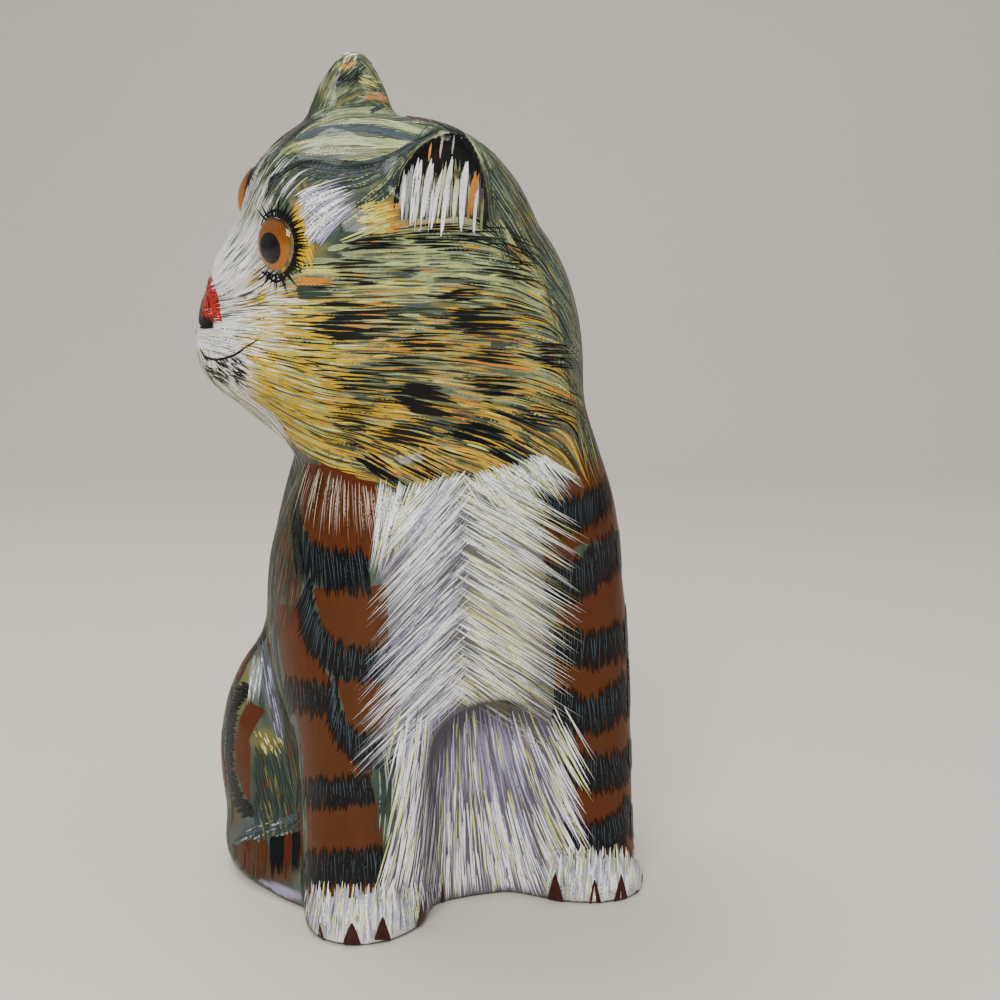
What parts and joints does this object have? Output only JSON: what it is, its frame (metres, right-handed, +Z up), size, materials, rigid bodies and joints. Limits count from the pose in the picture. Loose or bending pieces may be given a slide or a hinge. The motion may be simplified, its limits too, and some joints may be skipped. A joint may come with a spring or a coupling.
{
  "type": "cat figurine",
  "caption": "Carved wooden cat sitting upright, head turned to one side, painted as a tabby, with inset glass eyes.",
  "frame": {"origin": "in the plane of the flat underside, near the middle of the figure", "axes": "+Z up through the ears, -Y out of the chest, +X to the cat's left; the head faces -X"},
  "size_m": [0.0782, 0.0819, 0.1511],
  "materials": {
    "painted_wood": "painted and lacquered, glossy",
    "glass": "polished, painted amber behind with a black pupil"
  },
  "bodies": {
    "root": {"cat_body": "painted_wood", "eye_left": "glass", "eye_right": "glass"}
  },
  "joints": []
}
